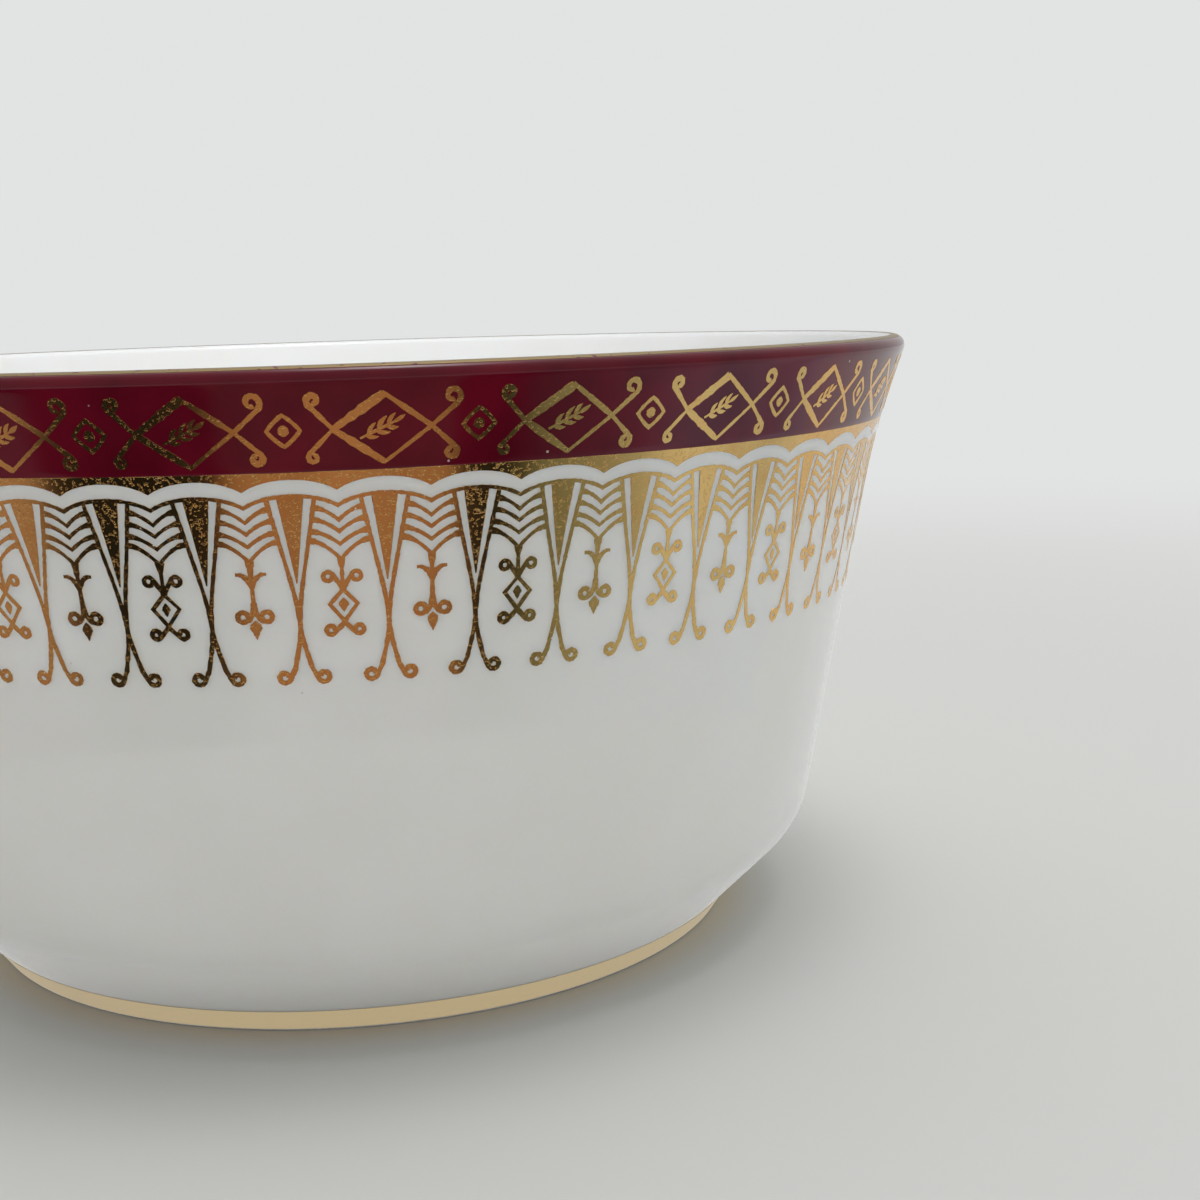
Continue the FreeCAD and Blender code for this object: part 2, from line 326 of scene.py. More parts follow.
def turned(profile, sides, ring):
    """A profile turned round the axis: x = r cos a, y = r sin a, z = height.

    A ring's profile is closed on itself. Otherwise its two ends lie on the axis and are closed by fans.
    """
    around = np.arange(sides) * 2 * math.pi / sides
    rows = profile if ring else profile[1:-1]
    radius, height = rows[:, :1], rows[:, 1:]
    points = np.stack([
        radius * np.cos(around), radius * np.sin(around), np.broadcast_to(height, (len(rows), sides))
    ], -1).reshape(-1, 3)
    faces = [woven(len(rows), sides, ring, True)]
    if not ring:
        first, last = len(points), len(points) + 1
        poles = [[0, 0, profile[0, 1]], [0, 0, profile[-1, 1]]]
        points = np.concatenate([points, poles])
        here = np.arange(sides)
        ahead = (here + 1) % sides
        top = (len(rows) - 1) * sides
        faces.append(np.stack([np.full(sides, first), ahead, here], -1))
        faces.append(np.stack([np.full(sides, last), top + here, top + ahead], -1))
    return points, faces


# Section of a printed line from right to left, as shares of half its width and of its thickness
SECTION = np.array([(-1, -0.6), (-0.94, 1), (0, 1), (0.94, 1), (1, -0.6)])
STROKE_STEP = 0.4
# Each stroke of a motif stands higher than the last by this share, so no two tops lie in one plane
STEP_UP = 0.03


def stroke(path, width, joined=False):
    """Right and left edges of a line drawn along a path.

    At each point the edge stands off along the sum of the two neighbouring normals divided by
    1 + their dot product, so that corners are mitred. Widths are spread evenly along the length.
    """
    path = np.asarray(path, float) if joined else filled_in(np.asarray(path, float), STROKE_STEP)
    steps = np.diff(np.concatenate([path, path[:1]]) if joined else path, axis=0)
    reach = np.linalg.norm(steps, axis=1)
    normal = np.stack([-steps[:, 1], steps[:, 0]], -1) / reach[:, None]
    before = np.roll(normal, 1, axis=0) if joined else np.concatenate([normal[:1], normal])
    after = normal if joined else np.concatenate([normal, normal[-1:]])
    mitre = (before + after) / np.maximum(1 + (before * after).sum(1), 0.35)[:, None]
    run = np.concatenate([[0], np.cumsum(reach)])[:len(path)]
    share = run / run[-1]
    widths = np.interp(share, np.linspace(0, 1, np.size(width)), np.atleast_1d(width))
    half = mitre * widths[:, None] / 2
    return path - half, path + half, joined


def pressed(strokes, wall, base, lift, rise, repeats, start, ragged):
    """Strokes laid on the wall and repeated round the axis.

    Each stroke is a grid of its length by its section. A flat point (across, up) goes to the angle
    across / wall radius and the height base + up, and stands off along the wall's normal.
    """
    random = np.random.default_rng(11)
    turns = start + np.arange(repeats) * 2 * math.pi / repeats
    clouds, faces, count = [], [], 0
    for order, (right, left, joined) in enumerate(strokes):
        middle, half = (right + left) / 2, (left - right) / 2
        uneven = 1 + ragged * random.uniform(-1, 1, (repeats, len(middle), 1, 1))
        flat = middle[None, :, None] + half[None, :, None] * SECTION[:, :1] * uneven
        up = base + flat[..., 1]
        stand = lift + rise * (1 + STEP_UP * order) * SECTION[:, 1]
        lean = wall.lean(up)
        radius = wall.radius(up)
        around = turns[:, None, None] + flat[..., 0] / radius
        out = radius + stand * np.cos(lean)
        clouds.append(np.stack(
            [out * np.sin(around), -out * np.cos(around), up - stand * np.sin(lean)], -1
        ).reshape(-1, 3))
        rows, columns = len(middle), len(SECTION)
        grid = woven(rows, columns, joined, True)[:, ::-1]
        ends = [] if joined else [
            np.arange(columns)[None], (rows * columns - 1 - np.arange(columns))[None]
        ]
        offsets = count + np.arange(repeats)[:, None, None] * rows * columns
        faces += [(face[None] + offsets).reshape(-1, face.shape[1]) for face in [grid] + ends]
        count += repeats * rows * columns
    return np.concatenate(clouds), faces


# Lines of the drawings

def curve(points, count):
    """Smooth curve through a few points: each stretch is a cubic whose ends follow the neighbours."""
    points = np.asarray(points, float)
    padded = np.concatenate([2 * points[:1] - points[1:2], points, 2 * points[-1:] - points[-2:-1]])
    place = np.linspace(0, len(points) - 1, count)
    first = np.minimum(place.astype(int), len(points) - 2)
    t = (place - first)[:, None]
    a, b, c, d = (padded[first + k] for k in range(4))
    return (
        2 * b + (c - a) * t + (2 * a - 5 * b + 4 * c - d) * t ** 2 + (3 * b - a - 3 * c + d) * t ** 3
    ) / 2


def curl(start, centre, radius, turn, shrink, lead=4, count=18):
    """Line from a point, tangent to a circle, then round it through a turn as its radius shrinks.

    The tangent leaves the direct line to the centre by asin(radius / distance). A positive turn is
    anticlockwise.
    """
    start, centre = np.asarray(start, float), np.asarray(centre, float)
    side = math.copysign(1, turn)
    away = centre - start
    distance = np.linalg.norm(away)
    heading = math.atan2(away[1], away[0]) - side * math.asin(radius / distance)
    reach = math.sqrt(distance ** 2 - radius ** 2)
    line = start + np.linspace(0, reach, lead)[:, None] * [math.cos(heading), math.sin(heading)]
    share = np.linspace(0, 1, count)[1:]
    sweep = heading - side * math.pi / 2 + math.radians(turn) * share
    ring = radius * (1 - (1 - shrink) * share)
    return np.concatenate([line, centre + ring[:, None] * np.stack([np.cos(sweep), np.sin(sweep)], -1)])


def mirrored(path):
    """The same path on the other side of the motif's middle: across becomes -across."""
    return np.asarray(path, float) * [-1, 1]


def both_sides(path, width):
    return [stroke(path, width), stroke(mirrored(path), width)]


# Materials

def add(tree, kind, inputs=None, **settings):
    """A shader node with its settings, input values and links. A node as a value is its output 0.

    Inputs go by name, or by number where names repeat: a Mix of colours takes its share as 0 and its
    two colours as 6 and 7, and gives output 2. A Map Range takes its value, its two ends and what they
    become as 0 to 4.
    """
    node = tree.nodes.new("ShaderNode" + kind)
    for name, value in settings.items():
        setattr(node, name, value)
    for name, value in (inputs or {}).items():
        if isinstance(value, bpy.types.Node):
            value = value.outputs[0]
        if isinstance(value, bpy.types.NodeSocket):
            tree.links.new(value, node.inputs[name])
        else:
            node.inputs[name].default_value = value
    return node


def new_material(name):
    """An empty material, its node tree and its object coordinates."""
    material = bpy.data.materials.new(name)
    material.use_nodes = True
    tree = material.node_tree
    tree.nodes.clear()
    place = add(tree, "TexCoord").outputs["Object"]
    return material, tree, place


def per(size):
    """Texture scale for features of a size in millimetres."""
    return 1 / (size * MM)


def opaque(value):
    return (*value, 1.0)


def glazed_china(finish):
    """Porcelain, turned and fired under a clear glaze.

    The eye sees an even warm white, sharp reflections that waver a little with the glaze's thickness,
    a few pinholes, and a dull ring of bare clay where the foot was wiped before firing.
    """
    material, tree, place = new_material("porcelain_clear_glazed")
    cloud = add(tree, "TexNoise", {"Vector": place, "Scale": per(11), "Detail": 3.0})
    body = add(tree, "Mix", {
        0: cloud, 6: opaque(finish.china), 7: opaque(finish.china_warm)
    }, data_type="RGBA")
    hole = add(tree, "TexVoronoi", {"Vector": place, "Scale": per(6.5)})
    pinhole = add(tree, "MapRange", {0: hole, 1: 0.012, 2: 0.022, 3: 1.0, 4: 0.0})
    height = add(tree, "SeparateXYZ", {0: place}).outputs["Z"]
    bare = add(tree, "MapRange", {0: height, 1: 0.03 * MM, 2: 0.16 * MM, 3: 1.0, 4: 0.0})
    marks = add(tree, "Math", {0: pinhole, 1: bare}, operation="MAXIMUM")
    tinted = add(tree, "Mix", {
        0: marks, 6: body.outputs[2], 7: opaque(finish.biscuit)
    }, data_type="RGBA")
    rough = add(tree, "MapRange", {0: marks, 1: 0.0, 2: 1.0, 3: 0.085, 4: 0.62})
    ripple = add(tree, "TexNoise", {"Vector": place, "Scale": per(4.5), "Detail": 1.0})
    bump = add(tree, "Bump", {"Strength": 0.12, "Distance": 0.02 * MM, "Height": ripple})
    surface = add(tree, "BsdfPrincipled", {
        "Base Color": tinted.outputs[2], "Roughness": rough, "IOR": 1.52,
        "Normal": bump, "Subsurface Weight": 0.7, "Subsurface Scale": 2.0 * MM,
        "Subsurface Radius": (1.0, 0.9, 0.8),
    })
    add(tree, "OutputMaterial", {0: surface})
    return material


def burgundy_enamel(finish):
    """On-glaze enamel, laid as a band on the wheel and fired glossy.

    The eye sees a deep wine red, a shade darker where it lies thick, a fine orange-peel in the gloss
    and a few pale nicks.
    """
    material, tree, place = new_material("enamel_burgundy_on_glaze")
    cloud = add(tree, "TexNoise", {"Vector": place, "Scale": per(7), "Detail": 4.0})
    even = add(tree, "MapRange", {0: cloud, 1: 0.35, 2: 0.65, 3: 0.0, 4: 1.0})
    wine = add(tree, "Mix", {
        0: even, 6: opaque(finish.enamel), 7: opaque(finish.enamel_deep)
    }, data_type="RGBA")
    nick = add(tree, "TexVoronoi", {"Vector": place, "Scale": per(3.4)})
    chipped = add(tree, "MapRange", {0: nick, 1: 0.022, 2: 0.036, 3: 0.75, 4: 0.0})
    tinted = add(tree, "Mix", {
        0: chipped, 6: wine.outputs[2], 7: opaque(finish.biscuit)
    }, data_type="RGBA")
    peel = add(tree, "TexNoise", {"Vector": place, "Scale": per(0.9), "Detail": 2.0})
    bump = add(tree, "Bump", {"Strength": 0.15, "Distance": 0.008 * MM, "Height": peel})
    surface = add(tree, "BsdfPrincipled", {
        "Base Color": tinted.outputs[2], "Roughness": 0.1, "IOR": 1.52, "Specular IOR Level": 0.3,
        "Normal": bump,
    })
    add(tree, "OutputMaterial", {0: surface})
    return material


def fired_gold(name, gold, gold_red, ground, grain, relief, pits, roughness):
    """Bright gold, printed or brushed on and fired thin.

    The eye sees a clean metallic reflection broken by the grain of the print, a redder tone where the
    gold is thin, and pits that show the ground below. Real grain is under a tenth of a millimetre, and
    is drawn as coarse as it needs to show.
    """
    material, tree, place = new_material(name)
    thin = add(tree, "TexNoise", {"Vector": place, "Scale": per(1.6), "Detail": 3.0})
    tone = add(tree, "Mix", {0: thin, 6: opaque(gold), 7: opaque(gold_red)}, data_type="RGBA")
    speck = add(tree, "TexNoise", {"Vector": place, "Scale": per(grain), "Detail": 2.0})
    open_pit = add(tree, "MapRange", {0: speck, 1: pits, 2: pits + 0.03, 3: 0.0, 4: 1.0})
    tinted = add(tree, "Mix", {
        0: open_pit, 6: tone.outputs[2], 7: opaque(ground)
    }, data_type="RGBA")
    metal = add(tree, "Math", {0: 1.0, 1: open_pit}, operation="SUBTRACT")
    ridge = add(tree, "MapRange", {0: speck, 1: 0.57, 2: 0.62, 3: 0.0, 4: 1.0})
    bump = add(tree, "Bump", {"Strength": 1.0, "Distance": relief * MM, "Height": ridge})
    surface = add(tree, "BsdfPrincipled", {
        "Base Color": tinted.outputs[2], "Metallic": metal, "Roughness": roughness,
        "Normal": bump,
    })
    add(tree, "OutputMaterial", {0: surface})
    return material


def gold_on_enamel(finish):
    return fired_gold(
        "gold_printed_on_enamel", finish.gold, finish.gold_red, finish.enamel_deep,
        grain=0.3, relief=0.008, pits=0.72, roughness=0.2,
    )


def gold_on_china(finish):
    return fired_gold(
        "gold_printed_on_china", finish.gold, finish.gold_red, finish.china,
        grain=0.3, relief=0.008, pits=0.74, roughness=0.18,
    )


def gold_stippled(finish):
    return fired_gold(
        "gold_stippled_on_china", finish.gold, finish.gold_red, finish.china,
        grain=0.3, relief=0.022, pits=0.78, roughness=0.16,
    )


# The lip line's dark tone is partly wear and partly painted shade against the bright light overhead
def gold_lip(finish):
    return fired_gold(
        "gold_brushed_lip_line", finish.gold_dull_and_painted_shade, finish.gold_dull_and_painted_shade, finish.enamel,
        grain=0.6, relief=0.01, pits=0.66, roughness=0.35,
    )


# The foot line's pale tone is partly wear and partly a painted reflection of the bright table top
def gold_foot(finish):
    return fired_gold(
        "gold_brushed_foot_line", finish.gold_worn_and_painted_reflection, finish.gold_worn_and_painted_reflection, finish.china,
        grain=0.5, relief=0.01, pits=0.74, roughness=0.4,
    )


# Pieces

def bowl_settings(context):
    """Sizes of the body, layout of the borders, and colours."""
    scene = context.scene
    return scene.bowl_form, scene.bowl_drawing, scene.bowl_finishes


class BOWL_OT_china_body(bpy.types.Operator):
    """Body of the bowl with its foot ring, turned as one closed profile"""

    bl_idname = "bowl.china_body"
    bl_label = "China body"

    def execute(self, context):
        form, _, finish = bowl_settings(context)
        wall = Wall(form)
        foot = form.foot_radius / MM
        inside = foot - form.foot_width / MM
        recess, floor = form.recess_depth / MM, form.floor_height / MM
        foot_top = np.array([foot + form.foot_flare / MM, form.foot_height / MM])
        under = np.array([math.cos(form.undercut), math.sin(form.undercut)])
        slope = math.tan(wall.taper)
        gap = wall.straight(foot_top[1], 0)[0] - foot_top[0]
        corner = foot_top + under * gap / (under[0] - under[1] * slope)
        edge = form.foot_edge / MM
        outside = rounded(
            [(0, recess), (inside - 1.5 * edge, recess), (inside, 0), (foot, 0), foot_top, corner,
             wall.straight(wall.base, 0)],
            [edge, edge, edge, edge / 2, form.outer_turn / MM],
        )
        inner_corner = wall.straight(floor, -wall.thickness)
        inner_base = wall.flare(-wall.thickness, 2)[0]
        hollow = rounded([inner_base, inner_corner, (0, floor)], [form.inner_turn / MM], 22)
        profile = np.concatenate([
            outside[:-1],
            wall.flare(0, FLARE_ROWS),
            wall.over_lip(0, math.pi, 0, LIP_ROWS)[1:-1],
            wall.flare(-wall.thickness, FLARE_ROWS)[::-1],
            hollow[1:],
        ])
        points, faces = turned(filled_in(profile, PROFILE_STEP), form.sides, ring=False)
        make_piece("china_bowl", points, faces, glazed_china(finish), "glazed_china", "china_body")
        return {"FINISHED"}


def coat(under, over):
    """Closed profile of a thin coat between two lines, up the outside and back underneath."""
    return np.concatenate([over, under[::-1]])


class BOWL_OT_burgundy_band(bpy.types.Operator):
    """Enamel from the band's lower edge up over the start of the lip"""

    bl_idname = "bowl.burgundy_band"
    bl_label = "Burgundy band"

    def execute(self, context):
        form, _, finish = bowl_settings(context)
        wall = Wall(form)
        lift = form.enamel / MM
        base = form.band_base / MM
        height = np.linspace(base, wall.lip, BAND_ROWS)
        # Stretches where the enamel thins to nothing, in millimetres and in radians over the lip
        thin_height, thin_turn = 0.35, 0.35
        rise = np.minimum(1, (height - base) / thin_height) ** 0.5

        def line(stand):
            lean = wall.lean(height)
            return np.stack([
                wall.radius(height) + stand * np.cos(lean), height - stand * np.sin(lean)
            ], -1)

        turn = np.linspace(0, form.band_turn, BAND_LIP_ROWS)[1:]
        fade = np.minimum(1, (form.band_turn - turn) / thin_turn) ** 0.5
        lip = wall.over_lip(turn[0], turn[-1], 0, len(turn))
        outward = (lip - wall.lip_centre) / wall.half
        over = np.concatenate([line(lift * rise), lip + outward * (lift * fade)[:, None]])
        under = np.concatenate([line(-lift), lip - outward * lift])
        points, faces = turned(coat(under, over), form.sides, ring=True)
        make_piece(
            "enamel_band", points, faces, burgundy_enamel(finish), "burgundy_enamel", "burgundy_band"
        )
        return {"FINISHED"}


class BOWL_OT_gilt_lines(bpy.types.Operator):
    """Gilt lines over the lip and on the outside of the foot"""

    bl_idname = "bowl.gilt_lines"
    bl_label = "Gilt lines"

    def execute(self, context):
        form, _, finish = bowl_settings(context)
        wall = Wall(form)
        thickness = form.gold / MM
        overlap = 0.03
        start, end = form.band_turn - overlap, form.band_turn + form.gilt_turn
        over = wall.over_lip(start, end, thickness, GILT_ROWS)
        under = wall.over_lip(start, end, -thickness, GILT_ROWS)
        points, faces = turned(coat(under, over), form.sides, ring=True)
        make_piece("gilt_lip_line", points, faces, gold_lip(finish), "bright_gold", "rim_gilding")

        low = np.array([form.foot_radius / MM, 0])
        high = low + [form.foot_flare / MM, form.foot_height / MM]
        across = np.array([high[1] - low[1], low[0] - high[0]]) / np.linalg.norm(high - low)
        low_share, high_share, rows = 0.1, 0.98, 8
        face = low + (high - low) * np.linspace(low_share, high_share, rows)[:, None]
        points, faces = turned(
            coat(face - across * thickness, face + across * thickness), form.sides, ring=True
        )
        make_piece("gilt_foot_line", points, faces, gold_foot(finish), "bright_gold", "foot_gilding")
        return {"FINISHED"}


def lozenge_lines(line, bold):
    """Open lozenge whose sides cross and run on to four curls, with a leafy sprig inside."""
    width, height, joint = 3.47, 2.55, 0.5
    left, right = (-width, 0), (width, 0)
    top, bottom = (0, height), (0, -height)
    drawn = [
        stroke(np.linspace(left, (0.1, height - 0.15), 5), [joint, bold, bold]),
        stroke(np.linspace(left, (0.06, 0.1 - height), 5), [joint, bold * 0.9, bold * 0.6]),
        stroke(np.linspace(top, right, 5), [line, line * 1.45, line * 1.3]),
        stroke(np.linspace(bottom, right, 5), [line * 0.8, line * 0.95, line]),
    ]
    # Curls: start, centre, radius, turn, how far they shrink, and widths as shares of the line
    for start, centre, radius, turn, shrink, widths in (
        (left, (-4.82, 2.1), 0.44, -330, 0.5, (1.0, 1.2, 1.7, 1.3)),
        (left, (-4.86, -1.98), 0.4, 340, 0.4, (0.9, 1.1, 1.3, 1.0)),
        (right, (5.0, 2.08), 0.62, 350, 0.4, (1.0, 1.2, 1.5, 1.1)),
        (right, (4.82, -1.94), 0.46, -340, 0.45, (1.0, 1.2, 1.7, 1.2)),
    ):
        drawn.append(stroke(curl(start, centre, radius, turn, shrink), np.array(widths) * line))
    return drawn + sprig_lines()


def sprig_lines():
    """Leafy sprig that leans to the right, with three pairs of pointed leaves and one at its tip."""
    low, high = np.array([-1.6, -0.72]), np.array([0.75, 0.36])
    stem = high - low
    heading = math.atan2(stem[1], stem[0])
    drawn = [stroke(np.linspace(low, high, 5), [0.2, 0.26, 0.2])]
    leaf_width = [0.14, 0.34, 0.38, 0.26, 0.05]
    share = np.linspace(0, 1, 6)
    # Leaves: how far up the stem they spring, angle off it, length and bend
    leaves = [(1.0, 0.0, 1.0, 0.12)]
    for place, reach in ((0.24, 1.0), (0.54, 1.15), (0.84, 1.0)):
        leaves += [(place, 0.95, reach, -0.4), (place - 0.06, -0.95, reach * 0.9, 0.4)]
    for place, off, reach, bend in leaves:
        turned_to = heading + off + bend * share
        leaf = np.stack([np.cos(turned_to), np.sin(turned_to)], -1) * reach * share[:, None]
        drawn.append(stroke(low + stem * place + leaf, leaf_width))
    return drawn


def small_lozenge_lines(line):
    """Small open lozenge with soft corners round a dot.

    Its outline is where (across / width) ** softness + (up / height) ** softness is 1. The dot's width
    is the chord of a circle.
    """
    softness = 1.15
    around = np.linspace(0, 2 * math.pi, 29)[:-1]
    reach = (np.abs(np.cos(around)) ** softness + np.abs(np.sin(around)) ** softness) ** (-1 / softness)
    frame_line = np.stack([1.16 * np.cos(around), 1.12 * np.sin(around)], -1) * reach[:, None]
    dot = np.linspace((0, 0.4), (0, -0.4), 7)
    round_width = 0.8 * np.sqrt(1 - np.linspace(-0.97, 0.97, 7) ** 2)
    return [stroke(frame_line, line, joined=True), stroke(dot, round_width)]


class BOWL_OT_frieze(bpy.types.Operator):
    """Large and small lozenges printed on the enamel band"""

    bl_idname = "bowl.frieze"
    bl_label = "Frieze of lozenges"

    def execute(self, context):
        form, drawing, finish = bowl_settings(context)
        wall = Wall(form)
        gold = gold_on_enamel(finish)
        line, bold = drawing.line / MM, drawing.bold_line / MM
        centre = (form.band_base + drawing.frieze_height) / MM
        half_turn = math.pi / drawing.frieze_repeats
        for name, node, lines, shift in (
            ("printed_lozenges", "large_lozenges", lozenge_lines(line, bold), 0),
            ("printed_small_lozenges", "small_lozenges", small_lozenge_lines(line), -half_turn),
        ):
            points, faces = pressed(
                lines, wall, centre, form.enamel / MM, form.gold / MM, drawing.frieze_repeats,
                drawing.start + shift, drawing.ragged,
            )
            make_piece(name, points, faces, gold, "bright_gold", node)
        return {"FINISHED"}


# Border below the band. Heights are from the band's lower edge, and downwards is negative.

PITCH_SAMPLES = 12
SCALLOP_CROWN = -0.5
SCALLOP_CUSP = -1.37
OUTLINE_CROWN = -1.56
OUTLINE_CUSP = -2.36
WEDGE_TIP = -8.2


def scallop(share, crown, cusp):
    """Height of an arched edge: a circle's arc over each pitch, with points where arches meet."""
    bulge = 1.25
    arch = (np.sqrt(np.maximum(bulge ** 2 - share ** 2, 0)) - math.sqrt(bulge ** 2 - 1)) / (
        bulge - math.sqrt(bulge ** 2 - 1)
    )
    return cusp + (crown - cusp) * arch


def half_pitch(form, drawing):
    """Half the width of an arch, taken below the band at the height of the chevrons."""
    below = 2
    return float(Wall(form).radius(form.band_base / MM - below)) * math.pi / drawing.border_repeats


def print_below_band(context, name, node, lines, gold, repeats, shift, ragged):
    """A motif of the hanging border, printed on the wall all the way round."""
    form, drawing, _ = bowl_settings(context)
    points, faces = pressed(
        lines, Wall(form), form.band_base / MM, 0, form.gold / MM, repeats, drawing.start + shift,
        ragged,
    )
    make_piece(name, points, faces, gold, "bright_gold", node)


class BOWL_OT_scallops(bpy.types.Operator):
    """Gold strip with a scalloped edge, and the fine outline that follows it below a bare line"""

    bl_idname = "bowl.scallops"
    bl_label = "Scalloped strip"

    def execute(self, context):
        form, drawing, finish = bowl_settings(context)
        wall = Wall(form)
        base, overlap = form.band_base / MM, 0.04
        repeats = drawing.border_repeats
        count = repeats * PITCH_SAMPLES
        share = 2 * (np.arange(count) % PITCH_SAMPLES) / PITCH_SAMPLES - 1
        turn = (np.arange(count) / PITCH_SAMPLES - 0.5) * 2 * math.pi / repeats
        across = turn * wall.radius(base)
        edge = scallop(share, SCALLOP_CROWN, SCALLOP_CUSP)
        upper = np.stack([across, np.full(count, overlap)], -1)
        lower = np.stack([turn * wall.radius(base + edge), edge], -1)
        print_below_band(
            context, "scalloped_strip", "scallop_strip", [(lower, upper, True)],
            gold_stippled(finish), repeats=1, shift=0, ragged=0,
        )
        return {"FINISHED"}


def wedge_lines():
    """Solid wedge, narrower towards its tip, whose top follows the scallops."""
    clearance, top_width, tip_width = 0.1, 2.02, 0.1
    return [stroke(curve([(0, OUTLINE_CROWN - clearance), (0, WEDGE_TIP)], 9), [top_width, tip_width])]


class BOWL_OT_wedges(bpy.types.Operator):
    """Solid stippled wedges"""

    bl_idname = "bowl.wedges"
    bl_label = "Gold wedges"

    def execute(self, context):
        _, drawing, finish = bowl_settings(context)
        ragged = 0.02
        print_below_band(
            context, "printed_wedges", "gold_wedges", wedge_lines(), gold_stippled(finish),
            drawing.border_repeats, 0, ragged,
        )
        return {"FINISHED"}


def wand_lines(line):
    """Line beside the wedge that crosses its twin under the tip and ends in a curl."""
    shaft = curve([(1.7, -1.95), (1.02, -5.3), (0.2, -9.4), (-0.1, -12.4), (-0.62, -14.75)], 14)
    end = curl(shaft[-1], (-1.45, -15.45), 0.44, -335, 0.7, 3, 20)
    path = np.concatenate([shaft, end[1:]])
    return both_sides(path, [line * 1.1, line, line * 1.1, line * 1.15, line * 1.4])


class BOWL_OT_wands(bpy.types.Operator):
    """Pairs of lines that cross below the wedges and spread to curls"""

    bl_idname = "bowl.wands"
    bl_label = "Crossed wands"

    def execute(self, context):
        _, drawing, finish = bowl_settings(context)
        print_below_band(
            context, "printed_wands", "crossed_wands", wand_lines(drawing.line / MM),
            gold_on_china(finish), drawing.border_repeats, 0, drawing.ragged,
        )
        return {"FINISHED"}


def chevron_lines(line, half):
    """Outline of the arches and the chevrons below the place where they meet.

    An arm rises from the point as 1 - (1 - share) ** 1.7, so it leaves steeply and flattens outwards.
    """
    share, drop = np.linspace(-1, 1, 15), 0.12
    arches = scallop(1 - np.abs(share), OUTLINE_CROWN, OUTLINE_CUSP)
    outline = np.stack([share * half, arches - drop], -1)
    drawn = [stroke(outline, [line * 0.9, line, line * 0.9])]
    share = np.linspace(-1, 1, 13)
    widths = [line * 1.7, line, line * 0.9, line * 0.9, line * 0.9, line, line * 1.7]
    # Chevrons from the top down: height of the point, reach of an arm, and how far it rises
    for point, reach, rise in (
        (-3.57, 1.72, 0.95), (-4.43, 1.9, 0.95), (-5.37, 2.05, 1.0), (-6.5, 2.15, 1.45)
    ):
        arm = rise * (1 - (1 - np.abs(share)) ** 1.7)
        drawn.append(stroke(np.stack([share * reach, point + arm], -1), widths))
    return drawn


class BOWL_OT_chevrons(bpy.types.Operator):
    """Chevrons below each meeting of two arches"""

    bl_idname = "bowl.chevrons"
    bl_label = "Chevrons"

    def execute(self, context):
        form, drawing, finish = bowl_settings(context)
        lines = chevron_lines(drawing.line / MM, half_pitch(form, drawing))
        print_below_band(
            context, "printed_chevrons", "chevrons", lines, gold_on_china(finish),
            drawing.border_repeats, math.pi / drawing.border_repeats, drawing.ragged,
        )
        return {"FINISHED"}


def arc(centre, radius, start, turn, count):
    """Points round a circle from a start angle through a turn, both in degrees."""
    around = np.radians(start + np.linspace(0, turn, count))
    return np.asarray(centre) + radius * np.stack([np.cos(around), np.sin(around)], -1)


def sprig_pendant_lines(line):
    """Stem with two leaves, which ends in two scrolls over a drop."""
    stem = np.linspace((0, -6.4), (0, -10.6), 9)
    leaf = curve([(0.02, -8.45), (0.3, -7.8), (0.72, -7.45), (1.12, -7.42)], 8)
    neck = curve([(0.03, -9.6), (0.12, -10.3), (0.4, -10.85), (0.88, -11.04)], 8)
    scroll = np.concatenate([neck, arc((0.88, -10.66), 0.38, -90, 300, 18)[1:]])
    drop = np.linspace((0, -10.95), (0, -12.4), 9)
    drop_width = [0.08, 0.5, 0.84, 0.9, 0.8, 0.6, 0.4, 0.22, 0.05]
    return (
        [stroke(stem, [line * 2.2, line * 1.1, line, line * 1.3, line * 2.2]), stroke(drop, drop_width)]
        + both_sides(leaf, [line, line * 1.3, line * 0.8])
        + both_sides(scroll, [line * 1.2, line * 1.2, line * 1.3, line * 1.2])
    )


def diamond_pendant_lines(line):
    """Stem with two curls over an open diamond, which ends in two more curls."""
    stem = np.linspace((0, -6.4), (0, -8.8), 6)
    upper = curl((-0.05, -8.85), (1.03, -7.8), 0.36, -340, 0.85, 3, 18)
    lower = curl((-0.02, -11.3), (1.03, -11.88), 0.36, 335, 0.8, 3, 18)
    corners = np.array([(0, -8.8), (-1.0, -9.92), (0, -11.25), (1.0, -9.92)])
    sides = np.concatenate([
        start + (end - start) * np.linspace(0, 1, 4)[:-1, None]
        for start, end in zip(corners, np.roll(corners, -1, axis=0))
    ])
    seed = np.linspace((0, -9.45), (0, -10.5), 7)
    return (
        [
            stroke(stem, [line * 2.2, line, line, line * 1.8]),
            stroke(sides, line, joined=True),
            stroke(seed, [0.08, 0.4, 0.66, 0.7, 0.5, 0.3, 0.06]),
        ]
        + both_sides(upper, [line * 1.2, line * 1.1, line * 1.1])
        + both_sides(lower, [line * 1.3, line * 1.2, line * 1.2])
    )


class BOWL_OT_pendants(bpy.types.Operator):
    """Pendants between the wands, of two kinds turn about"""

    bl_idname = "bowl.pendants"
    bl_label = "Pendants"

    def execute(self, context):
        _, drawing, finish = bowl_settings(context)
        gold = gold_on_china(finish)
        step = math.pi / drawing.border_repeats
        line = drawing.line / MM
        for name, node, lines, shift in (
            ("printed_sprig_pendants", "sprig_pendants", sprig_pendant_lines(line), step),
            ("printed_diamond_pendants", "diamond_pendants", diamond_pendant_lines(line), -step),
        ):
            print_below_band(
                context, name, node, lines, gold, drawing.border_repeats // 2, shift, drawing.ragged
            )
        return {"FINISHED"}


# Stage

def make_flat(name, points, faces, material):
    """A mesh of the stage, from points in metres."""
    mesh = bpy.data.meshes.new(name)
    mesh.from_pydata(points, [], faces)
    mesh.materials.append(material)
    piece = bpy.data.objects.new(name, mesh)
    bpy.context.scene.collection.objects.link(piece)
    return piece


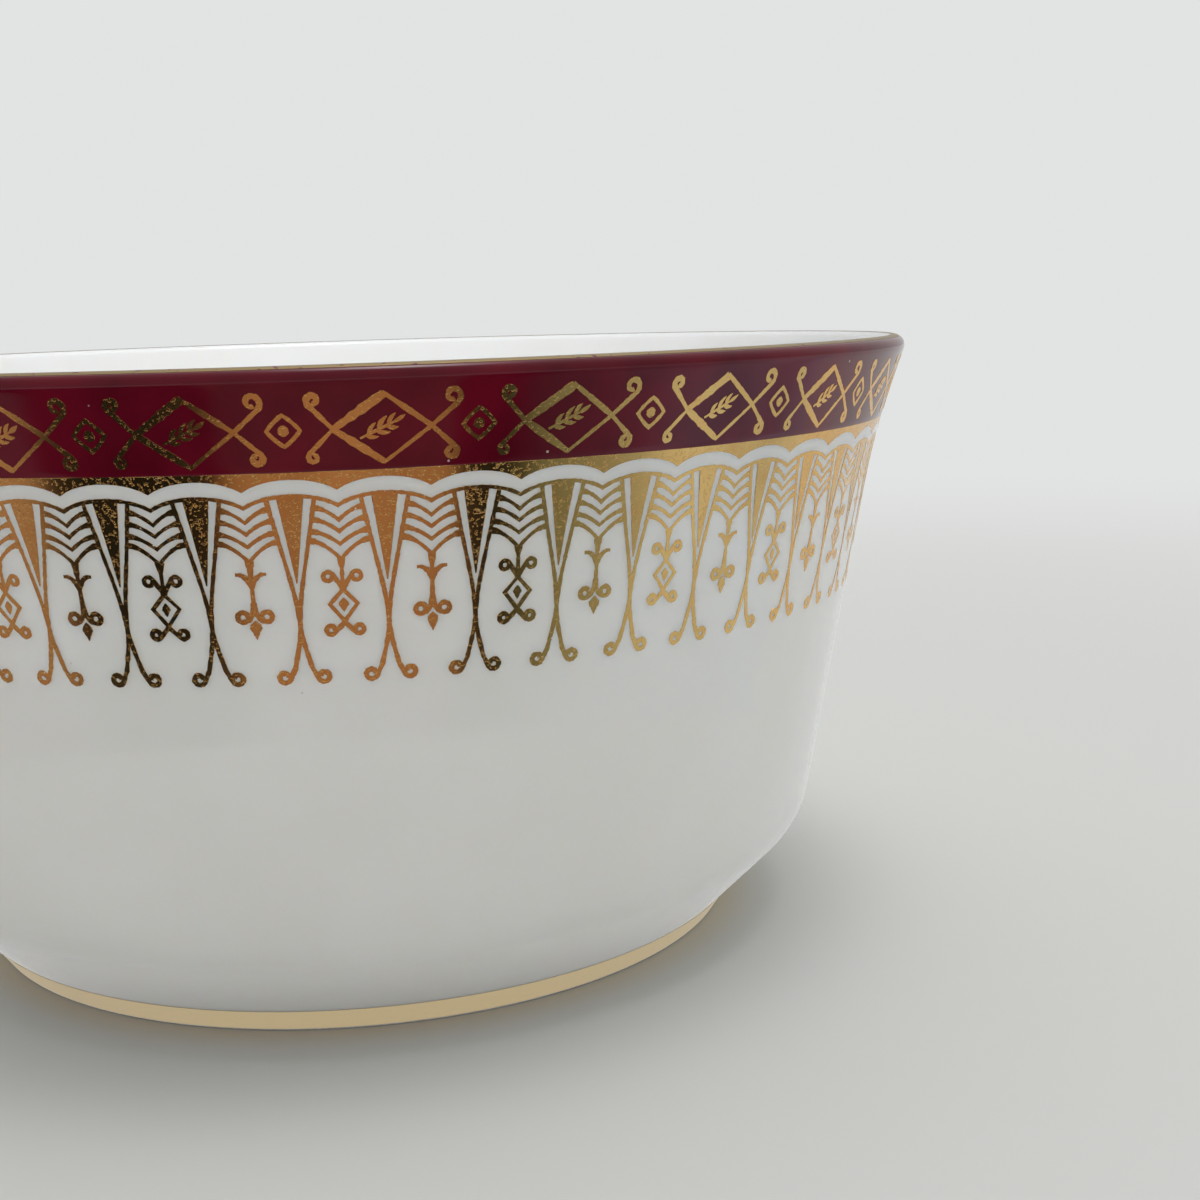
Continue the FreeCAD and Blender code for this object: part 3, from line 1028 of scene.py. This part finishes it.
def reflected_card(stage):
    """Curved card in front of the bowl that only reflections see, in zones of colour round the bowl."""
    # Angle from the front in degrees, and the colour there
    zones = (
        (-75, stage.brown), (-42, stage.brown), (-39, stage.dark), (-17, stage.dark), (-15, stage.warm),
        (13, stage.warm), (15, stage.dark), (21, stage.dark), (27, stage.olive), (50, stage.pale),
        (75, stage.pale),
    )
    radius, low_edge, high_edge, step = 0.088, 0.0004, 0.05, 1.0
    turns = np.array([turn for turn, _ in zones], float)
    values = np.array([tuple(shade) for _, shade in zones])
    degrees = np.arange(turns[0], turns[-1] + step, step)
    around = np.radians(degrees)
    count = len(around)
    shades = np.stack([np.interp(degrees, turns, values[:, k]) for k in range(3)] + [np.ones(count)], -1)
    low = np.stack([radius * np.sin(around), -radius * np.cos(around), np.full(count, low_edge)], -1)
    points = np.concatenate([low, low + [0, 0, high_edge - low_edge]])
    faces = [(k, k + 1, k + 1 + count, k + count) for k in range(count - 1)]
    material, tree, place = new_material("reflected_zones")
    shade = add(tree, "Attribute", attribute_name="shade").outputs["Color"]
    streak = add(tree, "TexNoise", {"Vector": place, "Scale": per(14), "Detail": 2.0})
    uneven = add(tree, "MapRange", {0: streak, 1: 0.3, 2: 0.7, 3: 0.75, 4: 1.25})
    glow = add(tree, "Emission", {"Color": shade, "Strength": uneven})
    add(tree, "OutputMaterial", {0: glow})
    card = make_flat("reflected_card", points.tolist(), faces, material)
    attribute = card.data.color_attributes.new("shade", "FLOAT_COLOR", "POINT")
    attribute.data.foreach_set("color", np.tile(shades, (2, 1)).ravel())
    card.visible_camera = False
    card.visible_diffuse = False
    card.visible_shadow = False
    card.visible_transmission = False


class BOWL_OT_stage(bpy.types.Operator):
    """Pale floor, soft overhead light, reflected card and the camera"""

    bl_idname = "bowl.stage"
    bl_label = "Stage"

    def execute(self, context):
        stage = context.scene.bowl_stage
        self.floor(stage)
        self.light(context, stage)
        self.fill(context, stage)
        self.camera(context, stage)
        reflected_card(stage)
        return {"FINISHED"}

    def floor(self, stage):
        """Pale matt table top that fades into the backdrop. Mirrors show little of its shadow."""
        material, tree, place = new_material("table_top_matt")
        lit = add(tree, "BsdfPrincipled", {
            "Base Color": opaque(stage.table), "Roughness": 0.6, "Specular IOR Level": 0.0
        })
        plain = add(tree, "Emission", {"Color": opaque(stage.backdrop), "Strength": 1.0})
        away = add(tree, "VectorMath", {0: place}, operation="LENGTH").outputs["Value"]
        fade = add(tree, "MapRange", {
            0: away, 1: stage.fade_start, 2: stage.fade_end, 3: 0.0, 4: 1.0
        }, interpolation_type="SMOOTHSTEP")
        path = add(tree, "LightPath")
        far = add(tree, "Math", {0: fade, 1: path.outputs["Is Camera Ray"]}, operation="MULTIPLY")
        plain_in_mirrors = 0.7
        mirrored_share = add(tree, "Math", {
            0: path.outputs["Is Glossy Ray"], 1: plain_in_mirrors
        }, operation="MULTIPLY")
        share = add(tree, "Math", {0: far, 1: mirrored_share}, operation="MAXIMUM")
        mixed = add(tree, "MixShader", {0: share, 1: lit, 2: plain})
        add(tree, "OutputMaterial", {0: mixed})
        half = 6.0
        corners = [(-half, -half, 0), (half, -half, 0), (half, half, 0), (-half, half, 0)]
        make_flat("table_top", corners, [(0, 1, 2, 3)], material)

    def light(self, context, stage):
        """Even sky, a broad light behind, a soft source overhead and a small one.

        Each source adds its strength times (the cosine of the angle to it) to a power that says how
        narrow it is. The camera sees the plain backdrop.
        """
        world = bpy.data.worlds.new("studio_dome")
        world.use_nodes = True
        tree = world.node_tree
        tree.nodes.clear()
        looking = add(tree, "TexCoord").outputs["Generated"]
        strength = stage.sky
        for towards, narrowness, amount in (
            (stage.window_towards, 1.0, stage.window),
            (stage.key_towards, 3.0, stage.key),
            (stage.lamp_towards, 80.0, stage.lamp),
        ):
            facing = add(tree, "VectorMath", {
                0: looking, 1: Vector(towards).normalized()
            }, operation="DOT_PRODUCT")
            lit = add(tree, "Math", {0: facing.outputs["Value"], 1: 0.0}, operation="MAXIMUM")
            lobe = add(tree, "Math", {0: lit, 1: narrowness}, operation="POWER")
            strength = add(tree, "Math", {0: lobe, 1: amount, 2: strength}, operation="MULTIPLY_ADD")
        dome = add(tree, "Background", {"Strength": strength})
        plain = add(tree, "Background", {"Color": opaque(stage.backdrop), "Strength": 1.0})
        seen = add(tree, "LightPath").outputs["Is Camera Ray"]
        mixed = add(tree, "MixShader", {0: seen, 1: dome, 2: plain})
        add(tree, "OutputWorld", {0: mixed})
        context.scene.world = world

    def fill(self, context, stage):
        """Small soft light over the bowl that fills the far side of its inside."""
        data = bpy.data.lights.new("fill", "AREA")
        data.shape, data.size, data.size_y = "RECTANGLE", 0.06, 0.02
        data.energy = stage.fill
        data.spread = math.radians(120)
        light = bpy.data.objects.new("fill", data)
        light.visible_camera = False
        light.visible_glossy = False
        place = Vector(stage.fill_at)
        turned_to = (place - Vector(stage.fill_aim)).to_track_quat("Z", "Y").to_matrix().to_4x4()
        light.matrix_world = Matrix.Translation(place) @ turned_to
        context.scene.collection.objects.link(light)

    def camera(self, context, stage):
        """Camera turned to the right of the bowl, tilted down and rolled, as three unit vectors."""
        yaw, pitch, roll = stage.yaw, stage.pitch, stage.roll
        ahead = Vector((
            math.sin(yaw) * math.cos(pitch), math.cos(yaw) * math.cos(pitch), -math.sin(pitch)
        ))
        level = Vector((math.cos(yaw), -math.sin(yaw), 0))
        upright = level.cross(ahead)
        right = level * math.cos(roll) + upright * math.sin(roll)
        up = upright * math.cos(roll) - level * math.sin(roll)
        data = bpy.data.cameras.new("camera")
        data.lens = stage.lens
        data.sensor_width = 36
        data.clip_start = 0.01
        camera = bpy.data.objects.new("camera", data)
        turned_to = Matrix((right, up, -ahead)).transposed().to_4x4()
        camera.matrix_world = Matrix.Translation(stage.camera_at) @ turned_to
        context.scene.collection.objects.link(camera)
        context.scene.camera = camera
        context.scene.view_settings.view_transform = "Standard"


class VIEW3D_PT_bowl(bpy.types.Panel):
    """Builds the bowl piece by piece"""

    bl_label = "Footed china bowl"
    bl_space_type = "VIEW_3D"
    bl_region_type = "UI"
    bl_category = "Bowl"

    def draw(self, context):
        for operator in OPERATORS:
            self.layout.operator(operator.bl_idname)
        for name in GROUPS:
            group = getattr(context.scene, name)
            box = self.layout.box()
            for key in group.__annotations__:
                box.prop(group, key)


OPERATORS = (
    BOWL_OT_stage, BOWL_OT_china_body, BOWL_OT_burgundy_band, BOWL_OT_gilt_lines, BOWL_OT_frieze,
    BOWL_OT_scallops, BOWL_OT_wedges, BOWL_OT_wands, BOWL_OT_chevrons, BOWL_OT_pendants,
)
GROUPS = {
    "bowl_form": BowlForm, "bowl_drawing": BorderDrawing,
    "bowl_finishes": Finishes, "bowl_stage": StageSettings,
}


def register():
    for name, group in GROUPS.items():
        bpy.utils.register_class(group)
        setattr(bpy.types.Scene, name, bpy.props.PointerProperty(type=group))
    for kind in OPERATORS + (VIEW3D_PT_bowl,):
        bpy.utils.register_class(kind)


def unregister():
    for kind in OPERATORS + (VIEW3D_PT_bowl,):
        bpy.utils.unregister_class(kind)
    for name, group in GROUPS.items():
        delattr(bpy.types.Scene, name)
        bpy.utils.unregister_class(group)


def main():
    register()
    for operator in OPERATORS:
        group, name = operator.bl_idname.split(".")
        getattr(getattr(bpy.ops, group), name)()


if __name__ == "__main__":
    main()
